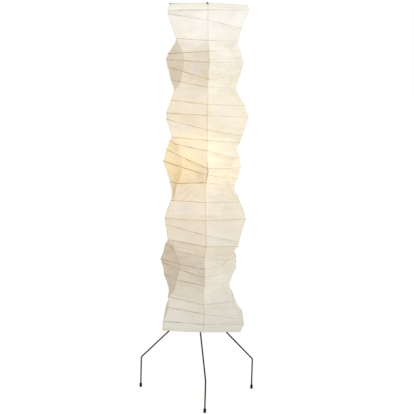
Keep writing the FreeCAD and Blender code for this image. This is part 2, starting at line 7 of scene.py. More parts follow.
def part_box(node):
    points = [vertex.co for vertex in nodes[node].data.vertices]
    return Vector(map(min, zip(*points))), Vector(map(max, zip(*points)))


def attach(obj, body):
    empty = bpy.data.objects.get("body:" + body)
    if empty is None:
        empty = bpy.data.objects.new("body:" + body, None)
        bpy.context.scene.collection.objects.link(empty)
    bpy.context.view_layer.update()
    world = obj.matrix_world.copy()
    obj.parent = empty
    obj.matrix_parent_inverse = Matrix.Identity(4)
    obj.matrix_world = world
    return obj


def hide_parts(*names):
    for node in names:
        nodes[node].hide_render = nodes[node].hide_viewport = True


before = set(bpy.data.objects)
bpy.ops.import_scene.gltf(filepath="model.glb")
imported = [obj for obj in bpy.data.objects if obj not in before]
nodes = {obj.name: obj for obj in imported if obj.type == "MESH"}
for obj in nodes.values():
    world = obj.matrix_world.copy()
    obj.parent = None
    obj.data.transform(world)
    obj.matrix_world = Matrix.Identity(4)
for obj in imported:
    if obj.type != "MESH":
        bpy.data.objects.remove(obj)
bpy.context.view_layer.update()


# ---------------------------------------------------------------- camera
# The photograph is taken from about five metres away at 1.33 m, looking a little down with a long
# lens, and it leans by about a degree and a half, so the lamp's top sits to the right of its feet.

pitch, lean, turn = math.radians(6.24), math.radians(1.50), math.radians(0.22)
camera_place = Vector((0.0018, -5.0, 1.33))
level_right = Vector((math.cos(turn), -math.sin(turn), 0))
level_ahead = Vector((math.sin(turn), math.cos(turn), 0))
ahead = math.cos(pitch) * level_ahead - math.sin(pitch) * Vector((0, 0, 1))
raised = math.sin(pitch) * level_ahead + math.cos(pitch) * Vector((0, 0, 1))
right = math.cos(lean) * level_right + math.sin(lean) * raised
up = math.cos(lean) * raised - math.sin(lean) * level_right

camera = bpy.data.objects.new("camera", bpy.data.cameras.new("camera"))
camera.data.sensor_width = 36.0
camera.data.lens = 107.65
camera.matrix_world = Matrix.Translation(camera_place) @ Matrix((right, up, -ahead)).transposed().to_4x4()
bpy.context.scene.collection.objects.link(camera)
bpy.context.scene.camera = camera
bpy.context.scene.view_settings.view_transform = "Standard"


# ---------------------------------------------------------------- wire legs
# Three legs bent from 6 mm steel wire: an open eye round the mast, a short straight run, a long
# slanted one, and an upright end in a rubber foot. They are painted satin black after bending.

LEG_WIRE = 0.0030
EYE = 0.0083            # middle of the eye's wire from the mast's axis
LEG_REACH = 0.264       # mast's axis to the middle of a foot
KNEE = 0.129            # height where the slanted and the upright run would meet
LEVEL_RUN = 0.016       # mast's axis to the end of the short straight run
BENDS = (0.009, 0.012)  # radii of the two bends
FOOT_END = 0.004        # height of the wire's end in its foot
legs = {"front": ("stand", 0.3695, 7.0), "right": ("right_leg", 0.3633, 119.5),
        "left": ("left_leg", 0.3757, -115.5)}       # body, eye's height, degrees from -Y to +X


def unit(vectors):
    """Vectors scaled to a length of one."""
    return vectors / np.linalg.norm(vectors, axis=-1, keepdims=True)


def bent_path(corners, bends):
    """Points of a wire's middle line: straight from corner to corner, with an arc of the given
    radius at each inner one that touches both runs, bend / tan(half the opening) from it."""
    corners = np.asarray(corners, float)
    line = [corners[:1]]
    for before, corner, after, bend in zip(corners, corners[1:], corners[2:], bends):
        back, on = unit(before - corner), unit(after - corner)
        half = math.acos(float(back @ on)) / 2
        centre = corner + unit(back + on) * bend / math.sin(half)
        start = corner + back * bend / math.tan(half) - centre
        sweep = np.linspace(0, math.pi - 2 * half, 12)[:, None]
        line.append(centre + start * np.cos(sweep) - back * bend * np.sin(sweep))
    return np.concatenate(line + [corners[-1:]])


def grid_mesh(name, surface, attributes=(), ring=False, loop=False, caps=False):
    """A mesh from an array of points (rows, columns, xyz): four-sided faces between neighbouring
    points, closed across the columns (ring) or the rows (loop) if asked, with a flat face on the
    first and the last row (caps), plus one float attribute for each pair given."""
    rows, columns = surface.shape[:2]
    number = np.arange(rows * columns).reshape(rows, columns)
    first, last = number[0], number[-1, ::-1]
    if ring:
        number = np.concatenate([number, number[:, :1]], 1)
    if loop:
        number = np.concatenate([number, number[:1]], 0)
    quads = np.stack([number[:-1, :-1], number[1:, :-1], number[1:, 1:], number[:-1, 1:]], -1)
    corners = quads.reshape(-1)
    starts = np.arange(0, corners.size, 4)
    if caps:
        starts = np.concatenate([starts, [corners.size, corners.size + columns]])
        corners = np.concatenate([corners, first, last])
    mesh = bpy.data.meshes.new(name)
    mesh.vertices.add(rows * columns)
    mesh.vertices.foreach_set("co", surface.reshape(-1).astype(np.float32))
    mesh.loops.add(corners.size)
    mesh.loops.foreach_set("vertex_index", corners.astype(np.int32))
    mesh.polygons.add(len(starts))
    mesh.polygons.foreach_set("loop_start", starts.astype(np.int32))
    mesh.polygons.foreach_set("use_smooth", np.ones(len(starts), bool))
    for label, values in attributes:
        layer = mesh.attributes.new(label, "FLOAT", "POINT")
        layer.data.foreach_set("value", values.reshape(-1).astype(np.float32))
    mesh.update(calc_edges=True)
    mesh.validate()
    piece = bpy.data.objects.new(name, mesh)
    bpy.context.scene.collection.objects.link(piece)
    return piece


def wire(name, line, across, radius, sides=20):
    """A round wire: a circle carried along the line. `across` is one direction square to the
    line at each point, the second is across x tangent, and a point is
    radius (cos a across + sin a second). Each end is eased and closed."""
    along = unit(np.gradient(line, axis=0))
    radius = np.broadcast_to(np.asarray(radius, float), len(line))
    ease = 0.3 * radius[[0, -1], None] * along[[0, -1]]
    line = np.concatenate([line[:1], line[:1] + ease[:1], line[1:-1], line[-1:] - ease[1:], line[-1:]])
    spread = np.concatenate([radius[:1] * 0.72, radius[:-1], radius[-1:], radius[-1:] * 0.72])
    along = np.concatenate([along[:1], along, along[-1:]])
    across = np.concatenate([across[:1], across, across[-1:]])
    across = unit(across - along * (across * along).sum(1, keepdims=True))
    second = np.cross(across, along)
    angle = 2 * math.pi * np.arange(sides)[None, :, None] / sides
    rings = np.cos(angle) * across[:, None] + np.sin(angle) * second[:, None]
    return grid_mesh(name, line[:, None] + rings * spread[:, None, None], ring=True, caps=True)


def new_material(name):
    """Starts a node material. The functions below add nodes to the one that was started last."""
    global tree
    material = bpy.data.materials.new(name)
    material.use_nodes = True
    tree = material.node_tree
    return material


def join(value, socket):
    """Links an output to a socket, or sets the socket itself. A colour is red, green and blue."""
    if isinstance(value, bpy.types.NodeSocket):
        tree.links.new(value, socket)
    else:
        socket.default_value = (*value, 1) if socket.type == "RGBA" else value


def put(kind, sockets=(), **settings):
    """Adds one node: settings are its own options, sockets are (input, value or output)."""
    node = tree.nodes.new("ShaderNode" + kind)
    for option, value in settings.items():
        setattr(node, option, value)
    for socket, value in dict(sockets).items():
        join(value, node.inputs[socket])
    return node


def own(kind):
    """The node of this kind that the material or the room came with."""
    return next(node for node in tree.nodes if node.type == kind)


def on_shader(**sockets):
    """Sets or links sockets of the material's own shader, with _ for the spaces in their names."""
    for socket, value in sockets.items():
        join(value, own("BSDF_PRINCIPLED").inputs[socket.replace("_", " ")])


def calc(operation, *values):
    """One step of arithmetic on values or outputs."""
    return put("Math", enumerate(values), operation=operation).outputs[0]


def mixed(factor, first, second, blend="MIX"):
    """Colour mix of first and second by a factor; each is a colour or an output."""
    return put("Mix", {0: factor, 6: first, 7: second}, data_type="RGBA", blend_type=blend).outputs[2]


def ranged(value, low, high, to_low=0.0, to_high=1.0):
    """Value carried from low..high to to_low..to_high, eased and held at both ends."""
    return put("MapRange", {0: value, 1: low, 2: high, 3: to_low, 4: to_high},
               interpolation_type="SMOOTHSTEP").outputs[0]


def on_piece():
    """The place on the piece, in metres."""
    return put("TexCoord").outputs["Object"]


def moved(place, move=(0, 0, 0), stretch=(1, 1, 1), turned_by=(0, 0, 0)):
    """A place that is stretched, then turned, then moved."""
    return put("Mapping", {0: place, 1: move, 2: turned_by, 3: stretch}).outputs[0]


def noise(place, scale, detail=2.0, roughness=0.5, distortion=0.0):
    """Soft random clouds from 0 to 1, about `scale` of them to each metre of the place."""
    return put("TexNoise", {"Vector": place, "Scale": scale, "Detail": detail, "Roughness": roughness,
                            "Distortion": distortion}).outputs[0]


def skin(height, strength, distance):
    """The surface's normal where it is raised by up to `distance` metres."""
    return put("Bump", {"Strength": strength, "Distance": distance, "Height": height}).outputs[0]


def finish(name, dark, light, grain, rough, bump=0.0, fine=900.0, stretch=(1, 1, 1), dust=0.0,
           **everywhere):
    """A worked finish. Two colours mix by a noise of the given grain, a finer noise moves the
    roughness between its two ends and raises the surface by `bump` metres, and dust lies on
    what faces up. What is the same all over is set on the shader's own sockets."""
    material = new_material(name)
    place = moved(on_piece(), stretch=stretch)
    broad, close = noise(place, grain, 4.0, 0.6), noise(place, fine, 3.0, 0.55)
    colour = mixed(ranged(broad, 0.32, 0.68), dark, light)
    if dust:
        facing = put("SeparateXYZ", {0: put("NewGeometry").outputs["Normal"]}).outputs[2]
        lying = calc("MULTIPLY", ranged(facing, 0.2, 1.0, 0.0, dust), ranged(broad, 0.40, 0.62))
        colour = mixed(lying, colour, (0.36, 0.33, 0.29))
    on_shader(Base_Color=colour, Roughness=ranged(close, 0.3, 0.7, *rough), **everywhere)
    if bump:
        on_shader(Normal=skin(close, 0.6, bump))
    return material


black_wire_paint = finish("black_wire_paint", (0.0022, 0.0022, 0.0024), (0.0055, 0.0052, 0.005), 70.0,
                          (0.58, 0.76), bump=0.00006, dust=0.025, Specular_IOR_Level=0.10)
for side, (body, eye_height, degrees) in legs.items():
    foot_x = math.sqrt(LEG_REACH ** 2 - EYE ** 2)
    round_eye = np.radians(np.linspace(-375, -90, 56)[:-1])[:, None]
    eye = EYE * np.concatenate([np.cos(round_eye), np.sin(round_eye), 0 * round_eye], 1)
    run = bent_path([(0, -EYE, 0), (LEVEL_RUN, -EYE, 0), (foot_x, -EYE, KNEE - eye_height),
                     (foot_x, -EYE, FOOT_END - eye_height)], BENDS)
    line = np.concatenate([eye, run])
    across = np.concatenate([unit(eye), np.broadcast_to([0.0, -1.0, 0.0], run.shape)])
    turned_by = math.radians(degrees - 90) + math.asin(EYE / LEG_REACH)
    c, s = math.cos(turned_by), math.sin(turned_by)
    turn_about_mast = np.array([(c, -s, 0), (s, c, 0), (0, 0, 1)])
    leg = wire("wire_leg_" + side, line @ turn_about_mast.T + (0, 0, eye_height),
               across @ turn_about_mast.T, LEG_WIRE)
    leg.data.materials.append(black_wire_paint)
    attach(leg, body)
    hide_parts("leg_" + side)


# ---------------------------------------------------------------- rubber feet
# A tip of black rubber pushed on the end of each leg, moulded with two grip grooves, a rounded
# tread and a shoulder that thins towards the wire.


def turned(name, outline, ease=0.0004, middle=(0, 0, 0), sides=64, hollow=False, step=None,
           between=(-9, 9), shape=None, lying=False):
    """A turned piece: an outline of (radius, height) with every corner eased by a curve
    (1-t)^2 start + 2t(1-t) corner + t^2 end, carried round the upright axis through `middle`,
    or round +X if lying. A hollow outline closes on itself, and a solid one starts and ends
    by the axis. Straight runs between two heights are cut into steps, and
    shape(radius, height, angle) may change the radius."""
    points = np.asarray(outline, float)
    to_last, to_next = np.roll(points, 1, 0) - points, np.roll(points, -1, 0) - points
    t = np.linspace(0, 1, 5)[None, :, None]
    start, end = (points + unit(way) * np.minimum(ease, 0.45 * np.linalg.norm(way, axis=1))[:, None]
                  for way in (to_last, to_next))
    eased = (1 - t) ** 2 * start[:, None] + 2 * t * (1 - t) * points[:, None] + t ** 2 * end[:, None]
    if hollow:
        line = eased.reshape(-1, 2)
    else:
        line = np.concatenate([points[:1], eased[1:-1].reshape(-1, 2), points[-1:]])
    following = np.roll(line, -1, 0)
    if (line[:, 0] * following[:, 1] - following[:, 0] * line[:, 1]).sum() > 0:
        line = line[::-1]
    if step:
        closed = np.concatenate([line, line[:1]]) if hollow else line
        parts = np.maximum(1, np.ceil(np.linalg.norm(np.diff(closed, axis=0), axis=1) / step))
        inside = (closed[1:, 1] + closed[:-1, 1]) / 2
        parts = np.where((inside > between[0]) & (inside < between[1]), parts, 1).astype(int)
        which = np.repeat(np.arange(len(parts)), parts)
        share = (np.arange(parts.sum()) - np.repeat(np.cumsum(parts) - parts, parts)) / parts[which]
        cut = closed[which] * (1 - share[:, None]) + closed[which + 1] * share[:, None]
        line = cut if hollow else np.concatenate([cut, line[-1:]])
    angle = 2 * math.pi * np.arange(sides)[None, :] / sides
    radius, height = line[:, :1] + 0 * angle, line[:, 1:] + 0 * angle
    if shape:
        radius = shape(radius, height, angle)
    surface = np.stack([radius * np.cos(angle), radius * np.sin(angle), height], -1)
    if lying:
        surface = surface[..., [2, 0, 1]]
    piece = grid_mesh(name, surface + np.asarray(middle), ring=True, loop=hollow, caps=not hollow)
    piece.data.set_sharp_from_angle(angle=math.radians(40))
    piece.modifiers.new("even shading", "WEIGHTED_NORMAL").keep_sharp = True
    return piece


def mm(outline):
    """An outline that is given in millimetres, in metres."""
    return np.array(outline) / 1000


foot_outline = mm([(0.3, 0.0), (2.9, 0.0), (4.6, 0.9), (5.45, 2.4), (5.6, 4.2), (5.6, 6.2), (5.35, 6.5),
                   (5.35, 7.0), (5.6, 7.3), (5.6, 9.0), (5.35, 9.3), (5.35, 9.8), (5.6, 10.1),
                   (5.5, 13.2), (5.0, 15.6), (4.3, 17.2), (3.6, 18.0), (3.2, 18.0), (3.05, 17.6),
                   (3.05, 4.0), (0.3, 4.0)])
foot_rubber = finish("foot_rubber", (0.004, 0.004, 0.004), (0.010, 0.0095, 0.009), 160.0, (0.72, 0.92),
                     bump=0.00008, fine=1400.0, dust=0.05, Specular_IOR_Level=0.15)
for side, (body, eye_height, degrees) in legs.items():
    where = (LEG_REACH * math.sin(math.radians(degrees)), -LEG_REACH * math.cos(math.radians(degrees)), 0)
    foot = turned("rubber_foot_" + side, foot_outline, 0.0003, where, 48)
    foot.data.materials.append(foot_rubber)
    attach(foot, body)
    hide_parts("foot_" + side)


# ---------------------------------------------------------------- nuts and washers at the eyes
# The three eyes lie on each other between two zinc-plated washers, under a hexagon nut and over a
# nut with a fluted head that is turned by hand, of black painted steel.


def hexagonal(flats):
    """The smaller of the outline's radius and the hexagon's: half the flats over the cosine of
    the angle from the nearest flat's middle."""
    def shape(radius, height, angle):
        from_flat = np.mod(angle, math.pi / 3) - math.pi / 6
        return np.where(radius > 0.4 * flats, np.minimum(radius, flats / 2 / np.cos(from_flat)), radius)
    return shape


def fluted(count, rim, groove, low, high):
    """Round grooves along the edge: within one groove radius of a groove's middle, measured
    round the rim, the radius is at most the rim less sqrt(groove^2 - distance^2)."""
    def shape(radius, height, angle):
        apart = 2 * math.pi / count
        aside = rim * (np.mod(angle + apart / 2, apart) - apart / 2)
        deep = rim - np.sqrt(np.clip(groove ** 2 - aside ** 2, 0, None))
        cut = (radius > 0.8 * rim) & (height > low) & (height < high)
        return np.where(cut, np.minimum(radius, deep), radius)
    return shape


zinc = finish("zinc_plate", (0.50, 0.51, 0.53), (0.68, 0.68, 0.67), 240.0, (0.26, 0.44), bump=0.00003,
              stretch=(1, 1, 5), Metallic=1.0)
black_steel_paint = finish("black_steel_paint", (0.0065, 0.0065, 0.007), (0.015, 0.0145, 0.014), 60.0,
                           (0.34, 0.52), bump=0.00005, dust=0.08, Specular_IOR_Level=0.45)
for name, low in (("hub_washer_upper", 0.3788), ("hub_washer_lower", 0.3587)):
    washer = turned("plain_" + name, [(0.0053, low), (0.0053, low + 0.0015), (0.012, low + 0.0015),
                                      (0.012, low)], 0.0003, sides=72, hollow=True)
    washer.data.materials.append(zinc)
    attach(washer, "stand")
    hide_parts(name)

hexagon_nut = turned("hexagon_nut", [(0.00505, 0.3809), (0.00505, 0.3869), (0.0056, 0.3874), (0.0083, 0.3874),
                                     (0.0098, 0.3865), (0.0098, 0.3813), (0.0083, 0.3804), (0.0056, 0.3804)],
                     0.00025, sides=96, hollow=True, step=0.0012, shape=hexagonal(0.017))
hexagon_nut.data.materials.append(zinc)
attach(hexagon_nut, "stand")
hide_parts("hub_nut")

hand_nut = turned("fluted_hand_nut", [(0.00505, 0.3441), (0.00505, 0.3581), (0.0056, 0.3586),
                                      (0.0075, 0.3586), (0.0075, 0.3526), (0.0125, 0.3526),
                                      (0.0125, 0.3436), (0.0056, 0.3436)],
                  0.0006, sides=216, hollow=True, shape=fluted(12, 0.0125, 0.0014, 0.3430, 0.3530))
hand_nut.data.materials.append(black_steel_paint)
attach(hand_nut, "clamp_nut")
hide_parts("clamp_nut")


# ---------------------------------------------------------------- mast and collar
# A 10 mm round steel bar painted black, with a thread rolled on its lower end for the two nuts,
# and a collar fixed near the top by a grub screw that carries the shade's hub.


def threaded(pitch, depth, low, high, least=0.0, most=1.0):
    """A thread: between two heights, and where the radius lies between two others, it is less
    by depth (1 - cos(2 pi (height / pitch - angle / 2 pi))) / 2, fading in over one pitch."""
    def shape(radius, height, angle):
        wave = (1 - np.cos(2 * math.pi * height / pitch - angle)) / 2
        fade = np.clip(np.minimum(height - low, high - height) / pitch, 0, 1)
        return radius - depth * wave * fade * ((radius > least) & (radius < most))
    return shape


mast = turned("threaded_mast", [(0.0003, 0.3376), (0.0042, 0.3376), (0.0050, 0.3384), (0.0050, 0.4060),
                                (0.0050, 1.6003), (0.0043, 1.6011), (0.0003, 1.6011)],
              0.0002, sides=48, step=0.00018, between=(0.3380, 0.4070),
              shape=threaded(0.00125, 0.00042, 0.3380, 0.4050, 0.003))
mast.data.materials.append(black_steel_paint)
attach(mast, "stand")
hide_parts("mast")


def keep_solid(names, material):
    """Gives carried-over nodes, whose shape is already right, their worked finish."""
    for name in names:
        nodes[name].data.materials.clear()
        nodes[name].data.materials.append(material)


keep_solid(["mast_collar"], black_steel_paint)
keep_solid(["collar_screw"], zinc)


# ---------------------------------------------------------------- hub and arms of the shade
# A painted steel disc turns on a nylon washer over the collar. Four cream wire arms are pressed
# into its edge and rest on the shade's upper rim. Their tips turn down over the paper, and were
# dipped in black.

cream, pale_cream = (0.60, 0.57, 0.49), (0.72, 0.70, 0.63)
nylon = finish("nylon_washer", (0.74, 0.73, 0.68), (0.82, 0.81, 0.77), 120.0, (0.35, 0.5), bump=0.00002,
               Subsurface_Weight=0.15, Subsurface_Scale=0.002)
keep_solid(["shade_hub"], black_steel_paint)


def dipped_wire(name, tip, dipped):
    """Cream wire paint that turns black where the distance from the tip is under `dipped`."""
    material = new_material(name)
    place = on_piece()
    speckle = noise(place, 90.0, 4.0)
    away = put("VectorMath", {0: place, 1: tip}, operation="DISTANCE").outputs["Value"]
    edge = calc("MULTIPLY_ADD", noise(place, 420.0, 1.0), 0.003, away)
    dip = ranged(edge, dipped, dipped + 0.0006, 1.0, 0.0)
    paint = mixed(ranged(speckle, 0.32, 0.68), cream, pale_cream)
    on_shader(Base_Color=mixed(dip, paint, (0.008, 0.008, 0.009)),
              Roughness=ranged(speckle, 0.3, 0.7, 0.38, 0.55),
              Normal=skin(calc("ADD", dip, speckle), 0.4, 0.0002))
    return material


for side, way, dipped in (("front", (0, -1), 0.012), ("right", (1, 0), 0.009),
                          ("back", (0, 1), 0.010), ("left", (-1, 0), 0.006)):
    low, high = np.array(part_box("shade_arm_" + side))
    reach = max(np.dot(low[:2], way), np.dot(high[:2], way)) - 0.002
    tip = (way[0] * reach, way[1] * reach, low[2] + 0.004)
    keep_solid(["shade_arm_" + side], dipped_wire("dipped_wire_" + side, tip, dipped))
keep_solid(["shade_washer"], nylon)


# ---------------------------------------------------------------- paper of the shade
# Washi paper in eight upright strips, lapped and pasted at their long edges and glued over bamboo
# hoops. The hoops stand square to the viewer in one bulge and corner-on in the next, and the
# paper between them is slack, so it sags, folds on a diagonal and creases where it narrows.

SHADE_TOP = 1.594
# per level: hoop (1) or free crease (0), squareness, drop at left, middle and right in mm,
# left and right reach in mm, and where the front line stands in mm
levels = np.array([
    (1, 1.00, 8, 0, 4, -144, 157, 2),
    (1, 1.00, 32, 26, 24, -151, 163, 4),
    (1, 1.00, 45, 64, 95, -151, 137, 5),
    (1, 1.00, 138, 143, 141, -118, 126, 8),
    (1, 0.26, 197, 185, 178, -152, 139, 14),
    (1, 0.16, 220, 228, 225, -160, 152, 17),
    (1, 0.26, 249, 294, 274, -152, 141, 14),
    (1, 0.48, 300, 325, 327, -138, 125, 11),
    (0, 1.00, 344, 356, 356, -122, 137, 12),
    (1, 1.00, 379, 392, 393, -131, 158, 13),
    (1, 1.00, 428, 434, 437, -148, 174, 13),
    (1, 1.00, 453, 490, 510, -148, 151, 14),
    (1, 1.00, 523, 533, 539, -124, 144, 15),
    (0, 0.90, 534, 552, 563, -130, 133, 15),
    (1, 0.68, 546, 574, 606, -139, 147, 16),
    (1, 0.28, 580, 642, 646, -149, 155, 18),
    (1, 0.10, 628, 668, 694, -162, 141, 18),
    (1, 0.55, 711, 700, 716, -132, 131, 15),
    (0, 0.80, 746, 742, 736, -124, 128, 11),
    (1, 1.00, 773, 779, 773, -123, 148, 15),
    (1, 1.00, 842, 848, 837, -145, 175, 17),
    (1, 1.00, 868, 909, 931, -142, 151, 19),
    (1, 1.00, 929, 954, 950, -131, 148, 21),
    (0, 0.90, 946, 974, 972, -132, 133, 19),
    (1, 0.50, 967, 998, 1010, -146, 146, 17),
    (1, 0.11, 1029, 1043, 1030, -163, 147, 19),
    (1, 0.16, 1042, 1076, 1060, -158, 145, 19),
    (1, 0.36, 1091, 1112, 1110, -148, 125, 19),
    (0, 0.60, 1134, 1152, 1126, -131, 119, 17),
    (1, 1.00, 1160, 1190, 1175, -126, 136, 16),
    (1, 1.00, 1201, 1225, 1242, -124, 163, 21),
    (1, 1.00, 1254, 1263, 1259, -142, 180, 21),
    (1, 1.00, 1293, 1296, 1291, -145, 166, 15),
], float)
strip_names = ["front_right", "right_front", "right_back", "back_right",
               "back_left", "left_back", "left_front", "front_left"]
PAPER = 0.0008          # one wall of paper
LAP = 0.0065            # width of a pasted seam
SECOND_LAYER = 0.0005   # how far a lap stands off the sheet under it
SLACK = 0.045           # how far the paper sags in, as a share of the gap between two levels
TOP_HEM = 14            # widths of the turned-in edges, in mm
BOTTOM_HEM = 11
STRIP_COLUMNS = 44
ROW_PITCH = 0.0032
# each sheet has its own fold, painted warm shade (strongest on the left sheets, turned away from
# the lamp) and strength of its painted hoop shadows, and each pasted line its own painted shade
sheet_fold = (0.35, 0.45, 0.6, 0.6, 0.6, 0.6, 0.6, 0.5)
sheet_pleat = np.array([1.5, 1.3, 1.2, 1.0, 1.0, 1.0, 0.9, 1.0]) / 1000
sheet_warm_shade = (0.05, 0.15, 0.35, 0.25, 0.55, 0.40, 1.00, 0.90)
hoop_shadow_strength = (0.60, 0.55, 0.80, 0.80, 0.90, 0.90, 1.00, 1.00)
seam_shade_strength = (0.45, 0.12, 0.40, 0.70, 0.70, 0.80, 0.80, 0.75)
# marks on the front sheets as x, height, half width, half height and strength: soft cool grey
# clouds (the broad one at 0.858 m is painted shade over the rucks), and brown stains where the
# paste has soaked through
grey_clouds = [(0.070, 1.380, 0.035, 0.015, 0.4), (-0.035, 1.333, 0.017, 0.022, 0.9),
               (-0.037, 1.242, 0.030, 0.022, 0.7), (-0.065, 1.108, 0.030, 0.018, 0.6),
               (-0.058, 0.905, 0.010, 0.016, 1.0), (-0.060, 0.858, 0.046, 0.020, 1.0),
               (-0.066, 0.797, 0.026, 0.012, 0.9), (-0.004, 1.000, 0.004, 0.013, 1.0),
               (-0.020, 0.560, 0.030, 0.020, 0.5)]
brown_stains = [(-0.112, 0.852, 0.005, 0.026, 0.8), (-0.110, 1.030, 0.016, 0.024, 0.34),
                (-0.012, 0.925, 0.014, 0.022, 0.30), (-0.045, 0.906, 0.042, 0.014, 0.14),
                (0.060, 0.945, 0.055, 0.035, 0.10), (-0.006, 0.893, 0.010, 0.004, 0.45),
                (-0.112, 0.630, 0.006, 0.020, 0.6)]


def hoop_points(table, top):
    """Eight points of every level as (level, line, xyz) in metres. Side middles stand at the
    reaches; each corner is the squareness times the full corner plus the rest times the
    midpoint of the edge between two side middles."""
    square, left, middle, right_drop, x_left, x_right, x_front = table.T[1:]
    depth = (x_right - x_left) / 2
    x_back = (x_left + x_right) / 2
    back = (left + right_drop) / 2 - (middle - (left + right_drop) / 2) / 4

    def corner(x_side, x_end, y_end, drop_side, drop_end):
        return np.stack([square * x_side + (1 - square) * (x_side + x_end) / 2,
                         y_end * (1 + square) / 2,
                         -square * drop_side - (1 - square) * (drop_side + drop_end) / 2], -1)

    def point(x, y, drop):
        return np.stack([x, y, -drop], -1)

    nil = np.zeros(len(table))
    loops = np.stack([
        point(x_front, -depth, middle), corner(x_right, x_front, -depth, right_drop, middle),
        point(x_right, nil, right_drop), corner(x_right, x_back, depth, right_drop, back),
        point(x_back, depth, back), corner(x_left, x_back, depth, left, back),
        point(x_left, nil, left), corner(x_left, x_front, -depth, left, middle)], 1)
    loops[0, ::2, 2] = 0.0
    return loops / 1000 + np.array([0.0, 0.0, top])


def smooth_noise(seed, x, y, cells_x, cells_y):
    """Value noise from -1 to 1: random numbers on a lattice of cells_x by cells_y, eased
    between neighbours by 3t^2 - 2t^3. The lattice closes on itself along x."""
    lattice = np.random.default_rng(seed).uniform(-1, 1, (cells_y + 2, cells_x))
    fx, fy = x * cells_x, y * cells_y
    ix, iy = np.floor(fx).astype(int), np.clip(np.floor(fy).astype(int), 0, cells_y)
    tx, ty = fx - ix, fy - iy
    tx, ty = tx * tx * (3 - 2 * tx), ty * ty * (3 - 2 * ty)
    here, after = ix % cells_x, (ix + 1) % cells_x
    low = lattice[iy, here] * (1 - tx) + lattice[iy, after] * tx
    high = lattice[iy + 1, here] * (1 - tx) + lattice[iy + 1, after] * tx
    return low * (1 - ty) + high * ty


hoops = hoop_points(levels, SHADE_TOP)
is_hoop = levels[:, 0] > 0.5
cornered = 1 - levels[:, 1]                     # 1 where the hoop stands corner-on
level_drop = levels[:, 2:5].mean(1) / 1000
gaps = np.diff(level_drop)

# rows down the shade: each gap between levels is cut finely near its hoops and coarser between
row_level, row_share = [], []
for n, gap in enumerate(gaps):
    count = max(5, int(round(gap / ROW_PITCH)))
    even = np.arange(count) / count
    row_level.append(np.full(count, n))
    row_share.append(0.5 * even + 0.25 * (1 - np.cos(math.pi * even)))
row_level = np.concatenate(row_level + [[len(gaps) - 1]])
row_share = np.concatenate(row_share + [[1.0]])
row_drop = level_drop[row_level] + row_share * gaps[row_level]
row_gap = gaps[row_level]
between = 1 - np.abs(2 * row_share - 1) ** 2.6  # 0 at a level, 1 half-way to the next
row_cornered = (1 - row_share) * cornered[row_level] + row_share * cornered[row_level + 1]
down = row_drop / row_drop[-1]

# the eight lines where strips meet: straight from level to level, rounded at a free crease,
# drawn in between hoops and wandering a little sideways where a corner of slack paper stands out
here, there = hoops[row_level], hoops[row_level + 1]
lines = here + (there - here) * row_share[:, None, None]
slope = (hoops[1:] - hoops[:-1]) / gaps[:, None, None]
for n in np.nonzero(~is_hoop)[0]:
    reach = 0.4 * min(gaps[n - 1], gaps[n])
    nearness = np.clip(1 - np.abs(row_drop - level_drop[n]) / reach, 0, 1)
    lines += (slope[n] - slope[n - 1]) * (reach / 4) * (nearness ** 2)[:, None, None]
line_numbers = np.arange(8)
outward = lines * np.array([1.0, 1.0, 0.0])
outward /= np.linalg.norm(outward, axis=2, keepdims=True)
sideways = np.stack([-outward[..., 1], outward[..., 0], np.zeros(outward.shape[:2])], -1)
sag = np.minimum(SLACK * row_gap, 0.0030) * between
wander = smooth_noise(11, line_numbers / 8, down[:, None], 8, 46)
lines += outward * (-sag[:, None] * (0.8 + 0.4 * wander))[..., None]
ripple = smooth_noise(12, line_numbers / 8, down[:, None], 8, 110)
lines += outward * (0.0013 * ripple * between[:, None])[..., None]
lines += sideways * (wander * between[:, None]
                     * (0.0007 + 0.0040 * row_cornered[:, None] * (line_numbers % 2 == 0)))[..., None]


